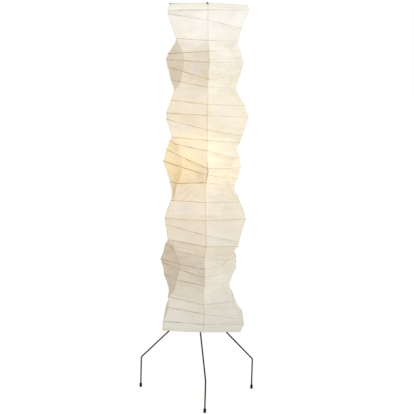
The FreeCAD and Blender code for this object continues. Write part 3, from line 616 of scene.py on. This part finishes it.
def strip_surface(k):
    """One strip between line k and line k + 1, u across and rows down. A straight blend of the
    two lines, plus the fold: on the diagonal of each cell that lies further in, the two
    triangles stand off the twisted patch by corner sum times (min(u, t) - u t). Then, along
    the plan radius: sag between hoops, pleats that fan out of the corners, and crumple."""
    even = np.arange(STRIP_COLUMNS + 1) / STRIP_COLUMNS
    u = (0.62 * even + 0.19 * (1 - np.cos(math.pi * even)))[None, :]
    t = row_share[:, None]
    edge_a, edge_b = lines[:, k], lines[:, (k + 1) % 8]
    surface = edge_a[:, None] * (1 - u[..., None]) + edge_b[:, None] * u[..., None]

    a, b = hoops[row_level, k], hoops[row_level, (k + 1) % 8]
    d, c = hoops[row_level + 1, k], hoops[row_level + 1, (k + 1) % 8]
    falls = np.linalg.norm((a + c)[:, :2], axis=1) <= np.linalg.norm((b + d)[:, :2], axis=1)
    softness = 0.5 * np.sqrt(np.clip(u * (1 - u) * t * (1 - t), 0, None))
    falling = (u + t - np.sqrt((u - t) ** 2 + softness ** 2)) / 2 - u * t
    rising = (u + t - 1 + np.sqrt((u + t - 1) ** 2 + softness ** 2)) / 2 - u * t
    fold = np.where(falls[:, None], falling, rising)
    surface += sheet_fold[k] * fold[..., None] * (a - b + c - d)[:, None]

    around = (k + u) / 8 + 0 * t
    height = down[:, None] + 0 * u
    width = np.linalg.norm(edge_b - edge_a, axis=1)[:, None]
    free = between[:, None]
    bow = np.sin(math.pi * u)
    loose = 0.35 + 0.65 * row_cornered[:, None]
    fan = 0.010 * np.sin(math.pi * (u - 0.1)) * smooth_noise(5, around, height, 16, 12)
    pleat = smooth_noise(21, around, height + fan, 24, 120)
    pleat = 1 - 2 * np.abs(pleat) ** 0.8
    tight = smooth_noise(22, around + 0.4 * fan, height - fan, 40, 210)
    wave = smooth_noise(25, around + 0.3 * fan, height + 1.6 * fan, 14, 100)
    wave += 0.9 * smooth_noise(26, around, height - 2.5 * fan * (u - 0.5), 10, 165)
    large = smooth_noise(23, around, height, 24, 30)
    crumple = smooth_noise(24, around, height, 160, 300)
    offset = -0.7 * np.minimum(SLACK * row_gap[:, None], 0.0032) * free * bow * (1 + 0.6 * large)
    offset += free * bow ** 0.4 * loose * sheet_pleat[k] * (0.6 * pleat + 0.5 * wave + 0.4 * tight)
    offset += 0.00016 * crumple * np.minimum(1, 6 * row_share * (1 - row_share))[:, None]
    # slanting rucks in the slack left side of the narrow place under the bulb
    x, y, z = np.moveaxis(surface, 2, 0)
    ruck = np.exp(-((x + 0.068) / 0.032) ** 2 - ((z - 0.850) / 0.042) ** 2) * (y < 0)
    ruck = ruck * np.sin(math.tau * (z - 0.62 * x + 0.009 * large) / 0.026)
    offset += 0.0017 * free ** 0.5 * bow ** 0.3 * ruck
    # the pasted lap: a second layer along the strip's first edge, flush near the top arms
    from_first = u * width
    low_enough = np.clip((row_drop[:, None] - 0.012) / 0.01, 0, 1)
    offset += SECOND_LAYER * low_enough * np.clip((LAP - from_first) / 0.0012, 0, 1)
    radius = surface * np.array([1.0, 1.0, 0.0])
    radius /= np.linalg.norm(radius, axis=2, keepdims=True)
    surface += radius * offset[..., None]

    gap_a = np.linalg.norm(d - a, axis=1)[:, None]
    gap_b = np.linalg.norm(c - b, axis=1)[:, None]
    local_gap = gap_a * (1 - u) + gap_b * u
    above = np.where(is_hoop[row_level][:, None], t * local_gap, 1.0)
    below = np.where(is_hoop[row_level + 1][:, None], (1 - t) * local_gap, 1.0)
    hoop_mm = 1000 * np.minimum(above, below)
    to_last = (1 - u) * width
    first_nearer = from_first < to_last
    x, y, z = np.moveaxis(surface, 2, 0)
    top_mm, bottom_mm = 1000 * (z[:1] - z), 1000 * (z - z[-1:])
    # the painted warm shade fades out towards 0.30 m and 1.50 m and is gone beyond them
    away_from_ends = np.clip(np.minimum(z - 0.30, 1.50 - z) / 0.11, 0, 1)
    nearest = (k + (1 - first_nearer)) % 8
    crumpled = (nearest == 0) * np.exp(-((z - 0.932) / 0.034) ** 2)
    on_crumple = crumpled * np.exp(-(np.minimum(from_first, to_last) / 0.0026) ** 2)
    # the painted hoop shadows show less on the two front right sheets, which face the lamp, in the corner-on
    # rows away from the bulb's height
    hoop_shadow_washed_out = 0.5 * (k < 2) * row_cornered[:, None] * (np.abs(z - 0.95) > 0.2)
    # the front seam's painted shade is weaker below 0.47 m
    seam_shade_fades_low = 1 - 0.65 * (nearest == 0) * np.clip((0.47 - z) / 0.05, 0, 1)

    def marks(table):
        """Sum of strength exp(-(dx / half width)^2 - (dz / half height)^2) on the front."""
        across, upward = x + 0.006 * large, z + 0.004 * tight
        spread = sum(power * np.exp(-((across - cx) / rx) ** 2 - ((upward - cz) / rz) ** 2)
                     for cx, cz, rx, rz, power in table)
        return np.clip(spread, 0, 1) * (y < 0)

    return surface, (("hoop_mm", hoop_mm),
                     ("seam_mm", 1000 * np.where(first_nearer, from_first, -to_last)),
                     ("hem_mm", np.minimum(top_mm - TOP_HEM, bottom_mm - BOTTOM_HEM)),
                     ("hoop_shadow_strength", hoop_shadow_strength[k] * (1 - hoop_shadow_washed_out)),
                     ("seam_shade_strength", np.array(seam_shade_strength)[nearest] * seam_shade_fades_low + 0.75 * crumpled),
                     ("warm_shade", sheet_warm_shade[k] * away_from_ends),
                     # crease: where painted shade lies in the hollows of the wrinkles and the rucks
                     ("crease", free * bow ** 0.3 * (0.5 + 0.5 * loose) * (0.7 * wave + 0.35 * tight)
                      - 0.6 * ruck),
                     # grey cloud: the listed clouds, plus painted shade in the hollows of the rucks
                     ("grey_cloud", np.clip(marks(grey_clouds) - 1.2 * ruck, 0, 1)),
                     ("brown_stain", np.clip(marks(brown_stains) + on_crumple + 0.15 * ruck, 0, 1)))


def washi_material(name, through):
    """Handmade paper: pale ivory with painted shade, darker, warmer and greyer towards the bottom
    and in the corner-on bulges, cloudy where its fibres lie thicker, with painted shadows of the
    hoops and painted shade along the seams, and lit from within round the bulb. `through` is the
    room's light that comes through the sheet, which shows on its inner face."""
    material = new_material(name)
    place = on_piece()

    def along(attribute):
        return put("Attribute", attribute_name=attribute).outputs["Fac"]

    def times(first, second):
        return calc("MULTIPLY", first, second)

    def away(move, reach, stretch=(1, 1, 1)):
        """Distance from the spot that `move` brings to the origin, as a share of the reach."""
        distance = put("VectorMath", {0: moved(place, move, stretch)}, operation="LENGTH")
        return calc("DIVIDE", distance.outputs["Value"], reach)

    # colour by height, from 0.29 m to 1.60 m: the paper's ivory with painted shade, lighter at
    # the top, darker and greyer lower down, and dipping in the three corner-on bulges
    height = put("SeparateXYZ", {0: place}).outputs[2]
    ramp = put("ValToRGB", {0: put("MapRange", {0: height, 1: 0.29, 2: 1.60}).outputs[0]})
    stops = ramp.color_ramp.elements
    stops[0].color, stops[1].color = (0.715, 0.720, 0.660, 1), (0.955, 0.960, 0.890, 1)
    for spot, colour in ((0.10, (0.770, 0.752, 0.676)), (0.24, (0.800, 0.752, 0.640)),
                         (0.38, (0.887, 0.834, 0.718)), (0.46, (0.845, 0.785, 0.658)),
                         (0.60, (0.890, 0.840, 0.718)), (0.80, (0.838, 0.800, 0.692)),
                         (0.86, (0.905, 0.882, 0.810)), (0.90, (0.935, 0.915, 0.855)),
                         (0.95, (0.965, 0.955, 0.910)), (0.98, (0.965, 0.970, 0.900))):
        stops.new(spot).color = (*colour, 1)

    # single fibres, long and thin, lying in two directions
    flat = moved(place, stretch=(60.0, 60.0, 420.0))
    steep = moved(place, stretch=(240.0, 240.0, 50.0), turned_by=(0.5, 0.6, 0.4))
    fibres = calc("MAXIMUM", ranged(noise(flat, 1.0, 3.0, distortion=1.4), 0.56, 0.68),
                  ranged(noise(steep, 1.0, 3.0, distortion=1.8), 0.58, 0.70))
    # painted shadows of the hoops behind the paper, the hems, and painted shade along the pasted
    # seams, drawn by distance in millimetres
    uneven = ranged(noise(place, 22.0, 1.0), 0.35, 0.65, 0.45, 1.0)
    painted_hoop_shadow = times(times(ranged(along("hoop_mm"), 0.7, 2.1, 1.0, 0.0), uneven), along("hoop_shadow_strength"))
    seam, hem = along("seam_mm"), along("hem_mm")
    painted_seam_shade = times(ranged(calc("ABSOLUTE", seam), 0.3, 1.2, 0.75, 0.0), along("seam_shade_strength"))
    in_lap = times(ranged(seam, 6.0, 7.0, 1.0, 0.0), ranged(seam, -0.2, 0.0))
    hem_line = times(ranged(calc("ABSOLUTE", hem), 0.5, 1.6, 0.35, 0.0), uneven)
    # light from within: a broad warm level over the upper shade and a pool round the bulb
    wide = away((0.0, 0.0, -1.12), 0.55, (0.4, 0.4, 1.0))
    near = away((0.045, 0.0, -0.975), 0.24)
    pool = away((0.070, 0.055, -0.905), 0.13)

    paper = ramp.outputs[0]
    for share, colour, blend in (
            # painted warm shade, strongest on the left sheets, which face away from the lamp
            (along("warm_shade"), (0.972, 0.932, 0.888), "MULTIPLY"),
            # clouds of thicker pulp, some warmer and some cooler
            (ranged(noise(place, 9.0, 4.0, 0.55), 0.35, 0.70), (0.95, 0.925, 0.89), "MULTIPLY"),
            (ranged(noise(place, 17.0), 0.52, 0.72, 0.0, 0.22), (0.80, 0.775, 0.790), "MIX"),
            # grey clouds, with painted shade in the hollows of the rucks
            (times(along("grey_cloud"), 0.70), (0.735, 0.690, 0.705), "MIX"),
            (times(fibres, 0.55), (0.905, 0.885, 0.845), "MULTIPLY"),
            # painted shade in the hollows of the wrinkles and of the rucks
            (ranged(along("crease"), -0.15, 0.60), (0.938, 0.926, 0.902), "MULTIPLY"),
            (in_lap, (1.0, 0.985, 0.950), "MULTIPLY"),
            (ranged(hem, -1.0, 0.5, 1.0, 0.0), (0.960, 0.972, 0.912), "MULTIPLY"),
            (hem_line, (0.62, 0.60, 0.47), "MULTIPLY"),
            # painted shadow of the bamboo hoops in the light that comes through the paper
            (painted_hoop_shadow, (0.56, 0.465, 0.340), "MULTIPLY"),
            # along each pasted edge: the lap's own line with painted shade, weaker on the lines turned to the
            # lamp and stronger where the front seam crumples near the bulb
            (painted_seam_shade, (0.62, 0.54, 0.42), "MULTIPLY"),
            (along("brown_stain"), (0.72, 0.55, 0.34), "MULTIPLY"),
            (ranged(pool, 0.25, 1.0, 0.9, 0.0), (0.960, 0.905, 0.800), "MULTIPLY"),
            # close to the bulb a hoop's shadow on the paper is deeper
            (times(painted_hoop_shadow, ranged(near, 0.45, 0.75, 1.0, 0.0)), (0.60, 0.52, 0.42), "MULTIPLY")):
        paper = mixed(share, paper, colour, blend)

    tint = mixed(ranged(near, 0.4, 1.2), (1.0, 0.905, 0.45), (1.0, 0.89, 0.60))
    # crinkled surface with fibres standing up a little
    crinkle = noise(moved(place, stretch=(45.0, 45.0, 130.0)), 1.0, 5.0, 0.6)
    on_shader(Base_Color=paper,
              Emission_Color=mixed(1.0, tint, paper, "MULTIPLY"),
              Emission_Strength=calc("ADD", ranged(wide, 0.0, 1.0, 0.12 + through, through),
                                     ranged(near, 0.35, 1.0, 0.26 + through, 0.0)),
              Normal=skin(calc("ADD", crinkle, times(fibres, 0.12)), 0.55, 0.0012),
              Roughness=0.82, Specular_IOR_Level=0.25, Sheen_Weight=0.15, Sheen_Roughness=0.5)
    return material


washi = washi_material("washi_paper", 0.0)
washi_inside = washi_material("washi_paper_inside", 0.24)
for k, name in enumerate(strip_names):
    surface, on_sheet = strip_surface(k)
    strip = grid_mesh("washi_" + name, surface, on_sheet)
    strip.data.materials.append(washi)
    strip.data.materials.append(washi_inside)
    wall = strip.modifiers.new("paper wall", "SOLIDIFY")
    wall.thickness = PAPER
    wall.offset = -1.0
    wall.material_offset = 1
    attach(strip, "shade")
    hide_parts("paper_" + name)


# ---------------------------------------------------------------- bamboo hoops and rim wires
# Split bamboo, 2 mm thick, bent round and glued inside the paper at each level, and a cream
# painted wire in the top and the bottom edge. They follow the same table as the paper.

split_bamboo = new_material("split_bamboo")
grain = noise(moved(on_piece(), stretch=(14.0, 14.0, 2600.0)), 1.0, 5.0, 0.65)
cane = mixed(ranged(grain, 0.35, 0.65), (0.34, 0.245, 0.115), (0.60, 0.49, 0.29))
cane_joint = ranged(noise(on_piece(), 26.0, 1.0), 0.66, 0.71, 0.0, 0.7)
on_shader(Base_Color=mixed(cane_joint, cane, (0.17, 0.105, 0.045)),
          Roughness=ranged(grain, 0.3, 0.7, 0.45, 0.68), Normal=skin(grain, 0.5, 0.0002))
keep_solid(["ribs_bulge_%d" % number for number in range(1, 8)], split_bamboo)
keep_solid(["rim_wire_top", "rim_wire_bottom"],
           finish("cream_wire_paint", cream, pale_cream, 90.0, (0.38, 0.55), bump=0.00004, dust=0.1))


# ---------------------------------------------------------------- bracket and thumb screw
# A steel strap welded to a ring that slides on the mast, painted black, and a zinc-plated screw
# with a fluted head that holds the ring at any height.

keep_solid(["lamp_bracket"], black_steel_paint)


def screw_and_head(radius, height, angle):
    """Grooves round the screw's head, and a thread on the narrow part under it."""
    radius = fluted(8, 0.008, 0.0012, 0.0149, 0.0201)(radius, height, angle)
    return threaded(0.0008, 0.0003, 0.0056, 0.0140, 0.002, 0.0026)(radius, height, angle)


thumb_screw = turned("fluted_thumb_screw", mm([
    (0.3, 5.3), (2.0, 5.3), (2.5, 5.8), (2.5, 14.6), (3.4, 14.7), (3.6, 15.0), (7.4, 15.0), (8.0, 15.6),
    (8.0, 19.4), (7.4, 20.0), (4.2, 20.0), (3.6, 19.6), (0.3, 19.6)]),
    0.0003, (0, 0, 0.8515), sides=144, step=0.00014, between=(0.0056, 0.0140), lying=True,
    shape=screw_and_head)
thumb_screw.data.materials.append(zinc)
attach(thumb_screw, "thumb_screw")
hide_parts("bracket_thumb_screw")


# ---------------------------------------------------------------- lampholder
# A moulded holder stands on the strap over a hollow threaded nipple with a nut on each side. In it
# are a porcelain floor, a rolled brass shell, and a springy contact. Below is the cord's gland.

BULB_AXIS = (-0.045, 0.0, 0.0)
nipple = turned("threaded_nipple", [(0.0035, 0.8363), (0.0038, 0.8360), (0.0050, 0.8360), (0.0050, 0.8660),
                                    (0.0038, 0.8660), (0.0035, 0.8657)],
                0.0002, BULB_AXIS, sides=48, hollow=True, step=0.00018,
                shape=threaded(0.001, 0.00035, 0.8360, 0.8660, 0.0047))
nipple.data.materials.append(zinc)
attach(nipple, "lampholder")
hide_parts("holder_nipple")
for name, low in (("nipple_nut_lower", 0.846), ("nipple_nut_upper", 0.859)):
    nut = turned("thin_" + name, [(0.00505, low + 0.0004), (0.00505, low + 0.0036), (0.0055, low + 0.0040),
                                  (0.0068, low + 0.0040), (0.0081, low + 0.0034), (0.0081, low + 0.0006),
                                  (0.0068, low), (0.0055, low)],
                 0.0002, BULB_AXIS, sides=96, hollow=True, step=0.001, shape=hexagonal(0.014))
    nut.data.materials.append(zinc)
    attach(nut, "lampholder")
    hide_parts(name)

gland = turned("ribbed_cord_gland", mm([
    (3.3, 826.6), (3.9, 826.0), (5.2, 826.0), (6.6, 827.6), (7.2, 830.5), (8.0, 831.4), (8.0, 845.4),
    (7.5, 845.9), (5.05, 845.9), (5.05, 836.1), (3.3, 836.1)]),
    0.0006, BULB_AXIS, sides=192, hollow=True, shape=fluted(16, 0.008, 0.0007, 0.8312, 0.8456))
gland.data.materials.append(finish("black_moulding", (0.010, 0.010, 0.010), (0.018, 0.018, 0.018), 130.0,
                                   (0.48, 0.62), bump=0.00005, fine=1300.0, dust=0.08))
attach(gland, "lampholder")
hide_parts("cord_gland")

holder = turned("bakelite_lampholder", mm([
    (5.05, 853.0), (18.6, 853.0), (21.0, 855.0), (21.8, 858.5), (21.8, 866.0), (20.8, 867.0), (20.8, 869.0),
    (21.4, 869.6), (21.4, 881.0), (22.0, 881.6), (22.0, 890.4), (21.4, 891.0), (20.4, 892.0), (20.0, 903.6),
    (18.8, 905.0), (17.4, 905.0), (17.0, 904.6), (17.0, 868.0), (15.0, 868.0), (15.0, 859.0),
    (5.05, 859.0)]), 0.0006, BULB_AXIS, sides=240, hollow=True,
    shape=fluted(30, 0.022, 0.0009, 0.8817, 0.8903))
bakelite = finish("brown_black_bakelite", (0.012, 0.009, 0.007), (0.030, 0.020, 0.013), 110.0,
                  (0.22, 0.34), bump=0.00002, stretch=(1, 1, 2.4), dust=0.12, Coat_Weight=0.35,
                  Coat_Roughness=0.12)
holder.data.materials.append(bakelite)
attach(holder, "lampholder")
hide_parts("holder_body")

floor_of_holder = turned("porcelain_floor", mm([
    (0.3, 868.0), (16.2, 868.0), (16.8, 868.6), (16.8, 872.4), (16.2, 873.0), (0.3, 873.0)]),
    0.0004, BULB_AXIS, sides=80)
floor_of_holder.data.materials.append(finish(
    "white_glaze", (0.80, 0.79, 0.745), (0.87, 0.865, 0.835), 90.0, (0.10, 0.20), bump=0.00003, fine=300.0,
    Coat_Weight=0.5, Coat_Roughness=0.06))
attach(floor_of_holder, "lampholder")
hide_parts("holder_insulator")

brass = finish("rolled_brass", (0.52, 0.36, 0.14), (0.80, 0.62, 0.31), 150.0, (0.24, 0.42), bump=0.00003,
               stretch=(1, 1, 3), Metallic=1.0)
shell = turned("rolled_screw_shell", [(0.0133, 0.8730), (0.0133, 0.9000), (0.0138, 0.9000),
                                      (0.0138, 0.8730)],
               0.00015, BULB_AXIS, sides=72, hollow=True, step=0.0004,
               shape=threaded(0.0036, -0.0006, 0.8740, 0.8994))
shell.data.materials.append(brass)
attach(shell, "lampholder")
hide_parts("holder_screw_shell")
keep_solid(["holder_centre_contact"], brass)


# ---------------------------------------------------------------- bulb
# A frosted globe on a rolled aluminium cap, lit. Inside its glass a stem carries two wires and a
# coiled filament between them; under the cap are a black glass insulator and a drop of solder.

solder_drop = turned("solder_contact", mm([
    (0.3, 878.1), (1.9, 878.2), (3.1, 878.9), (3.5, 879.9), (0.3, 879.9)]), 0.0005, BULB_AXIS, sides=32)
solder_drop.data.materials.append(finish("dull_solder", (0.42, 0.42, 0.42), (0.60, 0.60, 0.61), 500.0,
                                         (0.42, 0.58), bump=0.00006, Metallic=1.0))
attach(solder_drop, "bulb")
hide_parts("bulb_contact")

black_glass = turned("black_glass_insulator", mm([
    (0.3, 879.9), (4.6, 879.9), (5.4, 880.3), (8.2, 882.2), (12.0, 884.5), (12.0, 884.9), (0.3, 884.9)]),
    0.0004, BULB_AXIS, sides=64)
black_glass.data.materials.append(finish("black_glass", (0.006, 0.006, 0.009), (0.014, 0.013, 0.017), 300.0,
                                         (0.06, 0.14), bump=0.00003, Coat_Weight=0.4))
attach(black_glass, "bulb")
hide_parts("bulb_insulator")

cap = turned("rolled_bulb_cap", [(0.0125, 0.8849), (0.0125, 0.9089), (0.0130, 0.9089), (0.0130, 0.8849)],
             0.00015, BULB_AXIS, sides=72, hollow=True, step=0.0004,
             shape=threaded(0.0036, 0.0006, 0.8862, 0.9050))
cap.data.materials.append(finish("rolled_aluminium", (0.62, 0.62, 0.62), (0.80, 0.80, 0.79), 180.0,
                                 (0.24, 0.40), bump=0.00003, stretch=(1, 1, 4), Metallic=1.0))
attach(cap, "bulb")
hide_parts("bulb_cap")

GLOBE_MIDDLE = 948.9    # height of the ball's middle in mm
FILAMENT_MIDDLE = 939.6


def globe_outline():
    """Ball of 30 mm down to 50 degrees under its equator, then a cubic curve with its ends
    along the ball and along the neck, and the same again one wall further in."""
    def side(ball, neck):
        fall = np.radians(np.linspace(89.4, -50, 40))
        round_part = np.stack([ball * np.cos(fall), GLOBE_MIDDLE + ball * np.sin(fall)], 1)
        first = round_part[-1]
        along_ball = 7.5 * np.array([0.766, 0.643])
        t = np.linspace(0, 1, 14)[1:, None]
        flare = ((1 - t) ** 3 * first + 3 * t * (1 - t) ** 2 * (first - along_ball)
                 + 3 * t ** 2 * (1 - t) * np.array([neck, 917.0]) + t ** 3 * np.array([neck, 909.5]))
        return np.concatenate([round_part, flare, [(neck, 889.2)]])
    return np.concatenate([side(30.0, 11.7), side(29.0, 10.7)[::-1]]) / 1000


globe = turned("frosted_globe", globe_outline(), 0.00002, BULB_AXIS, sides=96)
frosted = new_material("frosted_lit_glass")
etched = noise(on_piece(), 1800.0)
low_down = put("SeparateXYZ", {0: moved(on_piece(), (-BULB_AXIS[0], 0.0, -GLOBE_MIDDLE / 1000))}).outputs[2]
on_shader(Base_Color=mixed(ranged(etched, 0.3, 0.7), (0.88, 0.86, 0.81), (0.93, 0.92, 0.88)),
          Emission_Color=mixed(ranged(low_down, -0.045, -0.005), (1.0, 0.66, 0.34), (1.0, 0.80, 0.52)),
          Emission_Strength=ranged(low_down, -0.045, 0.0, 1.2, 4.2),
          Roughness=ranged(etched, 0.3, 0.7, 0.36, 0.5), Normal=skin(etched, 0.3, 0.00004))
globe.data.materials.append(frosted)
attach(globe, "bulb")
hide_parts("bulb_globe")

stem = turned("glass_stem", mm([
    (0.3, 889.0), (10.4, 889.0), (10.6, 889.6), (9.6, 890.6), (5.6, 894.5), (3.4, 901.0), (2.8, 912.0),
    (2.9, 919.0), (3.6, 921.0), (3.4, 923.4), (1.8, 924.8), (0.3, 924.9)]),
    0.0008, BULB_AXIS, sides=48)
clear = new_material("clear_stem_glass")
drawn = noise(moved(on_piece(), stretch=(4.0, 4.0, 1.0)), 160.0)
on_shader(Base_Color=mixed(drawn, (0.90, 0.93, 0.93), (0.97, 0.98, 0.98)),
          Roughness=ranged(drawn, 0.3, 0.7, 0.01, 0.06), Transmission_Weight=0.9, IOR=1.5)
stem.data.materials.append(clear)
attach(stem, "bulb")
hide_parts("bulb_stem")

turns, coil = 26, 0.0009
phase = np.linspace(0, 2 * math.pi * turns, turns * 12 + 1)[:, None]
helix = np.concatenate([-0.0094 + 0.0188 * phase / phase[-1], coil * np.cos(phase), coil * np.sin(phase)], 1)
feet = np.array([(-0.0015, 0.0, -0.0150), (-0.0092, 0.0, -0.0012), (-0.0097, 0.0003, -0.0003)])
filament_line = np.concatenate([feet, helix, (feet * (-1, 1, 1))[::-1]])
filament_line = filament_line + (BULB_AXIS[0], 0.0, FILAMENT_MIDDLE / 1000)
foot_across = np.broadcast_to([0.0, 1.0, 0.0], (3, 3))
filament_across = np.concatenate([foot_across, helix * (0, 1, 1) / coil, foot_across])
foot_radius = [0.0004, 0.0004, 0.0003]
filament = wire("coiled_filament", filament_line, filament_across,
                np.concatenate([foot_radius, np.full(len(helix), 0.00022), foot_radius[::-1]]), sides=8)
glowing = new_material("glowing_tungsten")
upward = put("SeparateXYZ", {0: moved(on_piece(), (-BULB_AXIS[0], 0.0, -FILAMENT_MIDDLE / 1000))}).outputs[2]
hot = ranged(upward, -0.006, -0.001)
on_shader(Base_Color=mixed(hot, (0.34, 0.33, 0.32), (0.20, 0.17, 0.15)),
          Emission_Color=mixed(hot, (1.0, 0.30, 0.08), (1.0, 0.74, 0.36)),
          Emission_Strength=calc("MULTIPLY", hot, 14.0), Metallic=1.0, Roughness=0.35)
filament.data.materials.append(glowing)
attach(filament, "bulb")
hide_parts("bulb_filament")


# ---------------------------------------------------------------- floor, backdrop and light
# A white sweep with no edge. It shines a plain white to the camera and keeps a soft shadow under
# the feet, and one broad lamp from the front right and above adds to an even pale room.

floor_mesh = bpy.data.meshes.new("floor")
floor_mesh.from_pydata([(-60, -60, 0), (60, -60, 0), (60, 60, 0), (-60, 60, 0)], [], [(0, 1, 2, 3)])
floor = bpy.data.objects.new("floor", floor_mesh)
bpy.context.scene.collection.objects.link(floor)


def seen():
    """1 for what the camera sees, straight or in a gloss or through glass, and 0 for the rest."""
    path = put("LightPath").outputs
    return calc("MAXIMUM", calc("MAXIMUM", path["Is Camera Ray"], path["Is Glossy Ray"]),
                path["Is Transmission Ray"])


floor_material = new_material("white_floor")
on_shader(Base_Color=(0.80, 0.80, 0.80), Roughness=0.9, Specular_IOR_Level=0.0,
          Emission_Color=(1.0, 0.97, 0.93), Emission_Strength=0.17)
white = put("AddShader", {0: put("BsdfDiffuse", {0: (0.24, 0.24, 0.24)}).outputs[0],
                          1: put("Emission", {0: (1, 1, 1), 1: 0.84}).outputs[0]}).outputs[0]
from_above = put("MixShader", {0: seen(), 1: own("BSDF_PRINCIPLED").outputs[0], 2: white}).outputs[0]
from_below = put("BsdfTransparent").outputs[0]
join(put("MixShader", {0: put("NewGeometry").outputs["Backfacing"], 1: from_above,
                       2: from_below}).outputs[0], own("OUTPUT_MATERIAL").inputs["Surface"])
floor_mesh.materials.append(floor_material)

room = bpy.data.worlds.new("pale room")
bpy.context.scene.world = room
room.use_nodes = True
tree = room.node_tree           # from here on, nodes are added to the room's own tree
ambient = own("BACKGROUND")
join((1.0, 0.925, 0.865), ambient.inputs[0])
join(0.775, ambient.inputs[1])
backdrop = put("Background", {0: (1, 1, 1), 1: 1.0}).outputs[0]
join(put("MixShader", {0: seen(), 1: ambient.outputs[0], 2: backdrop}).outputs[0],
     own("OUTPUT_WORLD").inputs["Surface"])

lamp = bpy.data.objects.new("broad_lamp", bpy.data.lights.new("broad_lamp", "SUN"))
lamp.data.energy = 1.16
lamp.data.color = (0.90, 1.05, 1.19)
lamp.data.angle = math.radians(30)
lamp.matrix_world = Vector((0.62, -0.78, 0.14)).to_track_quat("Z", "Y").to_matrix().to_4x4()
bpy.context.scene.collection.objects.link(lamp)

bpy.context.view_layer.update()
